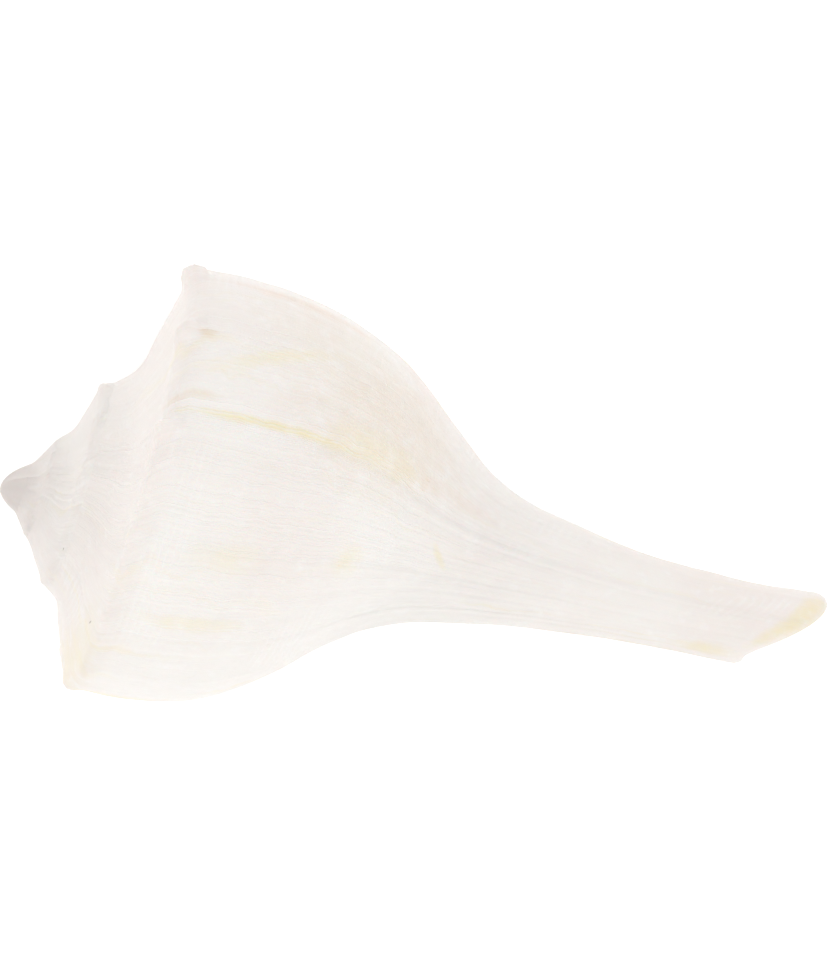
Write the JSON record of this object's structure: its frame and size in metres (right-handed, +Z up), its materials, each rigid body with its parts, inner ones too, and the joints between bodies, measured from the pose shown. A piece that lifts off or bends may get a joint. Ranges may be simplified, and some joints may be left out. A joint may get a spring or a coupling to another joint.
{
  "type": "conch shell",
  "caption": "Large left-handed spiral sea shell with a low knobbed spire, a wide body whorl and a long open canal, lying on its aperture; hollow through the aperture.",
  "frame": {"origin": "centre of the bounding box's base, on the surface that the shell lies on", "axes": "+X from the apex of the spire towards the end of the canal, +Y towards the side of the outer lip, +Z up, away from the aperture"},
  "size_m": [0.1722, 0.09, 0.0741],
  "materials": {
    "shell": "warm off-white, weathered satin outside with faint cream and yellow growth streaks, smoother inside"
  },
  "bodies": {
    "root": {"conch_shell": "shell"}
  },
  "joints": []
}
